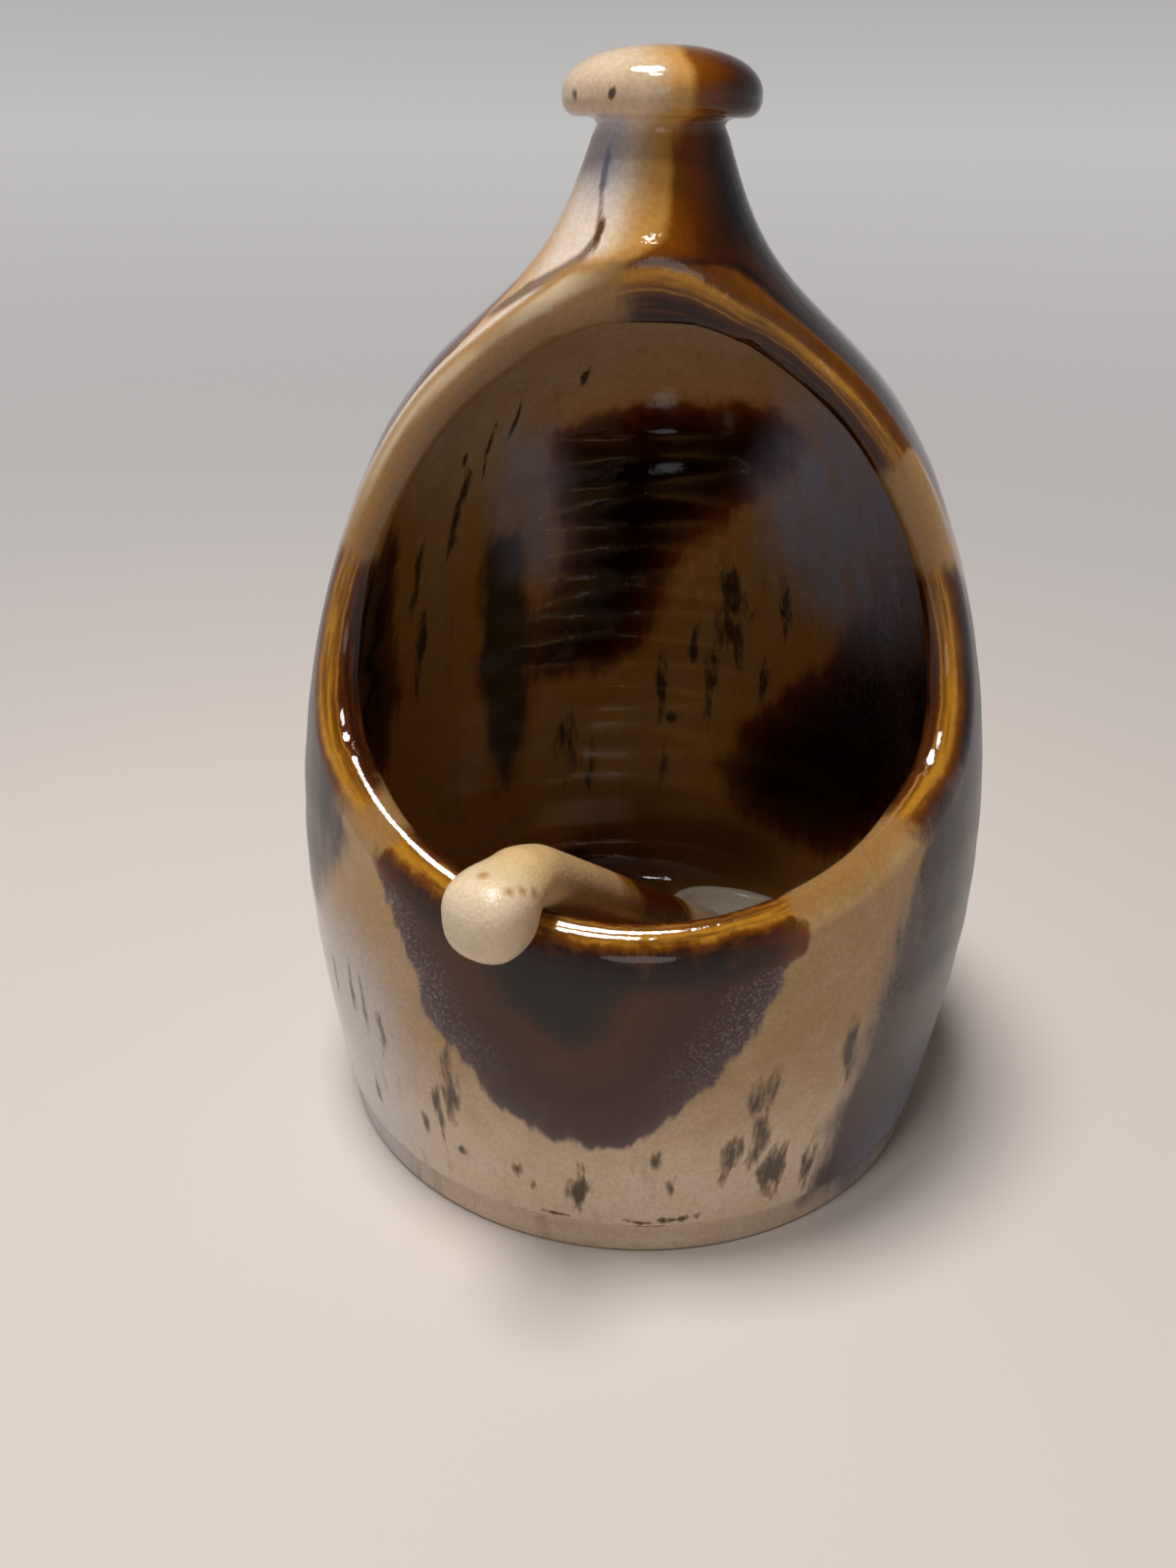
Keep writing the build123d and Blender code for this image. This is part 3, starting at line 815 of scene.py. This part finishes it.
    # A milky blue haze, with painted blue-grey shade under the knob, blue specks in the black inside, and an amber
    # pool by the floor.
    veilRange = addNode(
        tree, "MapRange", {"Value": veil, "From Min": 0.3, "From Max": 0.65, "To Min": 0.55, "To Max": 1.0}
    )
    hazeAndShadeShare = addNode(tree, "Math", {0: veilRange, 1: field["haze"]}, operation="MULTIPLY", use_clamp=True)
    speckBlue = addNode(tree, "MapRange", {"Value": dust, "From Min": 0.46, "From Max": 0.72})
    blueShare = addNode(tree, "Math", {0: speckBlue, 1: field["navy"]}, operation="MULTIPLY")
    amberShare = addNode(tree, "Math", {0: field["amber"], 1: 0.75}, operation="MULTIPLY")
    tinted = poured
    for share, code in ((hazeAndShadeShare, "#A6AECC"), (blueShare, "#5C6080"), (amberShare, "#8A5A18")):
        layer = {"Factor": share, "A": tinted, "B": linearColour(code)}
        tinted = addNode(tree, "Mix", layer, data_type="RGBA", output=2)

    # On the round edge of the mouth the glaze runs thin: amber over brown, honey over cream that darkens towards the
    # inside as painted shade, dark just inside.
    tooth = addNode(tree, "Math", {0: teeth, 1: 0.5}, operation="SUBTRACT")
    overRagged = addNode(tree, "Math", {0: tooth, 1: field["frayed"], 2: field["over"]}, operation="MULTIPLY_ADD")
    across = addNode(tree, "MapRange", {"Value": overRagged, "From Min": -4.5, "From Max": 7.5})
    thin = fillRamp(addNode(tree, "ValToRGB", {"Fac": across}), potRamps["thin"])
    amber = fillRamp(addNode(tree, "ValToRGB", {"Fac": across}), potRamps["amber"])
    lines = addNode(tree, "TexNoise", {"Vector": field["rimFlow"], "Scale": 0.8, "Detail": 4})
    streaks = addNode(tree, "MapRange", {"Value": lines, "From Min": 0.38, "From Max": 0.54, "To Min": 0.3})
    amberDark = addNode(
        tree, "Mix", {"Factor": streaks, "A": linearColour("#5A2E08"), "B": amber}, data_type="RGBA", output=2
    )
    honeyShadedInward = fillRamp(addNode(tree, "ValToRGB", {"Fac": across}), potRamps["honeyShadedInward"])
    crest = addNode(tree, "Mix", {"Factor": covered, "A": honeyShadedInward, "B": amberDark}, data_type="RGBA", output=2)
    rimmed = addNode(tree, "Mix", {"Factor": thin, "A": tinted, "B": crest}, data_type="RGBA", output=2)
    fine = addNode(
        tree, "MapRange", {"Value": grain, "From Min": 0.36, "From Max": 0.64, "To Min": 0.9, "To Max": 1.05}
    )
    grained = addNode(tree, "VectorMath", {0: rimmed, "Scale": fine}, operation="SCALE")
    # The pale line along the outer edge of the rim at the top left is a painted highlight.
    brightShare = addNode(tree, "Math", {0: field["bright"], 1: 0.45}, operation="MULTIPLY")
    colour = addNode(
        tree, "Mix", {"Factor": brightShare, "A": grained, "B": linearColour("#E2D2B2")}, data_type="RGBA", output=2
    )
    tree.links.new(colour, shader.inputs["Base Color"])

    # Glossy, satin on the belly and duller on its pours, with the faint orange peel of a fired glaze.
    dull = addNode(tree, "Math", {0: covered, 1: 0.1, 2: 0.17}, operation="MULTIPLY_ADD")
    gloss = addNode(tree, "MapRange", {"Value": field["satin"], "To Min": 0.06, "To Max": dull})
    tree.links.new(gloss, shader.inputs["Roughness"])
    shader.inputs["Specular IOR Level"].default_value = 0.4
    relief = addNode(tree, "Math", {0: covered, 1: 0.8, 2: peel}, operation="MULTIPLY_ADD")
    peeled = addNode(tree, "MapRange", {"Value": field["hood"], "To Min": 0.35, "To Max": 0.8})
    bump = addNode(tree, "Bump", {"Height": relief, "Strength": peeled, "Distance": 0.12 * millimetre})
    tree.links.new(bump, shader.inputs["Normal"])


throwingMarks(potPiece)
glazePot(potPiece, glazeFields(potPiece))
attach(potPiece, "pot")
print("pot glazed")


def glazeSpoon(piece):
    # The same stoneware, dipped in a satin cream glaze, with one brown band where the pour crossed the handle.
    tree, shader = newMaterial(piece, "satinCreamGlaze")
    place = addNode(tree, "TexCoord", output="Object")
    (ax, ay), (hx, hy) = spoon["along"], spoon["hook"]
    run = (ax / millimetre, ay / millimetre, 0)
    along = addNode(tree, "VectorMath", {0: place, 1: run}, operation="DOT_PRODUCT", output="Value")
    reach = addNode(tree, "Math", {0: along, 1: ax * hx + ay * hy}, operation="SUBTRACT")
    wander = addNode(tree, "TexNoise", {"Vector": place, "Scale": perMetre(7), "Detail": 4})
    grain = addNode(tree, "TexNoise", {"Vector": place, "Scale": perMetre(0.6), "Detail": 2})
    edge = addNode(tree, "Math", {0: wander, 1: 9.0, 2: reach}, operation="MULTIPLY_ADD")
    tone = addNode(tree, "MapRange", {"Value": edge, "From Min": -20.0, "From Max": 100.0})
    colour = fillRamp(addNode(tree, "ValToRGB", {"Fac": tone}), spoon["ramp"])
    for middle in spoon["flecks"]:
        spot = tuple(c * millimetre for c in middle)
        away = addNode(tree, "VectorMath", {0: place, 1: spot}, operation="DISTANCE", output="Value")
        ragged = addNode(tree, "Math", {0: wander, 1: -2.6 * millimetre, 2: away}, operation="MULTIPLY_ADD")
        share = addNode(
            tree, "MapRange",
            {"Value": ragged, "From Min": 0.0, "From Max": -0.9 * millimetre, "To Max": 0.75},
        )
        colour = addNode(
            tree, "Mix", {"Factor": share, "A": colour, "B": linearColour("#A8742E")}, data_type="RGBA", output=2
        )
    fine = addNode(
        tree, "MapRange", {"Value": grain, "From Min": 0.36, "From Max": 0.64, "To Min": 0.9, "To Max": 1.02}
    )
    grained = addNode(tree, "VectorMath", {0: colour, "Scale": fine}, operation="SCALE")
    tree.links.new(grained, shader.inputs["Base Color"])
    shine = addNode(
        tree, "MapRange", {"Value": reach, "From Min": 8.0, "From Max": 30.0, "To Min": 0.32, "To Max": 0.15}
    )
    tree.links.new(shine, shader.inputs["Roughness"])
    relief = addNode(tree, "Math", {0: wander, 1: 2.0, 2: grain}, operation="MULTIPLY_ADD")
    bump = addNode(tree, "Bump", {"Height": relief, "Strength": 0.6, "Distance": 0.2 * millimetre})
    tree.links.new(bump, shader.inputs["Normal"])


# The spoon lies on the rim without sinking into it.
applyModifier(
    spoonPiece, "SHRINKWRAP", target=potPiece, wrap_method="NEAREST_SURFACEPOINT", wrap_mode="OUTSIDE",
    offset=spoon["clearance"] * millimetre,
)
glazeSpoon(spoonPiece)
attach(spoonPiece, "spoon")
print("spoon glazed")


# The stage: a pale paper floor that fades into a pale backdrop, soft light from above and a little from in front.
stage = {
    "floorSize": 40.0,
    "paper": "#D6CBC3",
    "backdrop": "#C2BFBF",
    "above": "#ABA8A9",
    "ceiling": "#4A4848",
    "fadeFrom": 0.2,
    "ambient": 0.12,
    "lights": {
        "front": {"place": (-0.1, -0.42, 1.1), "target": (0, 0, 0.1), "size": 0.2, "watts": 2.8},
        "low": {"place": (0.03, -1.0, 0.4), "target": (0, 0.05, 0.1), "size": 0.3, "watts": 0.34},
        "overhead": {"place": (-0.13, -0.06, 0.92), "target": (0, 0, 0.05), "size": 0.28, "watts": 6.7},
    },
}
camera = {
    "place": (0.00637, -0.21452, 0.17009),
    "yaw": -0.0746,
    "pitch": 0.4715,
    "roll": -0.01288,
    "lens": 29.26,
    "nearest": 0.01,
}


def makeFloor():
    # Matt paper near the pot; far away, what the camera sees of it turns into the backdrop.
    bpy.ops.mesh.primitive_plane_add(size=stage["floorSize"])
    floor = bpy.context.active_object
    floor.name = "paperFloor"
    tree, shader = newMaterial(floor, "palePaper")
    shader.inputs["Base Color"].default_value = linearColour(stage["paper"])
    shader.inputs["Roughness"].default_value = 0.9
    place = addNode(tree, "TexCoord", output="Object")
    away = addNode(tree, "VectorMath", {0: place}, operation="LENGTH", output="Value")
    near = addNode(tree, "Math", {0: stage["fadeFrom"], 1: away}, operation="DIVIDE", use_clamp=True)
    backdrop = addNode(tree, "Emission", {"Color": linearColour(stage["backdrop"])})
    blend = addNode(tree, "MixShader", {0: near, 1: backdrop, 2: shader.outputs[0]})
    tree.links.new(blend, tree.nodes["Material Output"].inputs["Surface"])


def makeBackdrop():
    world = bpy.data.worlds.new("paleBackdrop")
    bpy.context.scene.world = world
    world.use_nodes = True
    tree = world.node_tree
    ambient = tree.nodes["Background"]
    ambient.inputs["Color"].default_value = linearColour(stage["paper"])
    ambient.inputs["Strength"].default_value = stage["ambient"]
    rays = addNode(tree, "LightPath").node.outputs
    seen, glossy, through = (rays[kind] for kind in ("Is Camera Ray", "Is Glossy Ray", "Is Transmission Ray"))
    plain = addNode(tree, "Math", {0: seen, 1: glossy}, operation="MAXIMUM")
    shown = addNode(tree, "Math", {0: plain, 1: through}, operation="MAXIMUM")
    ahead = addNode(tree, "TexCoord", output="Generated")
    height = addNode(tree, "SeparateXYZ", {0: ahead}, output="Z")
    stops = [(0.0, stage["backdrop"]), (0.12, stage["above"]), (0.7, stage["ceiling"])]
    sky = fillRamp(addNode(tree, "ValToRGB", {"Fac": height}), stops)
    pale = addNode(tree, "Background", {"Color": sky})
    blend = addNode(tree, "MixShader", {0: shown, 1: ambient.outputs[0], 2: pale})
    tree.links.new(blend, tree.nodes["World Output"].inputs["Surface"])


def makeLights():
    for name, light in stage["lights"].items():
        aim = Vector(light["target"]) - Vector(light["place"])
        turn = aim.to_track_quat("-Z", "Y").to_euler()
        bpy.ops.object.light_add(type="AREA", location=light["place"], rotation=turn)
        lamp = bpy.context.active_object
        lamp.name = name + "Light"
        lamp.data.shape = "DISK"
        lamp.data.size = light["size"]
        lamp.data.energy = light["watts"]
        lamp.visible_camera = False


def makeCamera():
    yaw, pitch, roll = camera["yaw"], camera["pitch"], camera["roll"]
    ahead = Vector((math.sin(yaw) * math.cos(pitch), math.cos(yaw) * math.cos(pitch), -math.sin(pitch)))
    right = Vector((math.cos(yaw), -math.sin(yaw), 0))
    up = right.cross(ahead)
    across = math.cos(roll) * right - math.sin(roll) * up
    upright = math.sin(roll) * right + math.cos(roll) * up
    bpy.ops.object.camera_add(location=camera["place"])
    viewer = bpy.context.active_object
    viewer.name = "photoCamera"
    viewer.rotation_euler = Matrix((across, upright, -ahead)).transposed().to_euler()
    viewer.data.lens = camera["lens"]
    viewer.data.clip_start = camera["nearest"]
    bpy.context.scene.camera = viewer


makeFloor()
makeBackdrop()
makeLights()
makeCamera()
bpy.context.scene.view_settings.view_transform = "Standard"
print("stage and camera made")
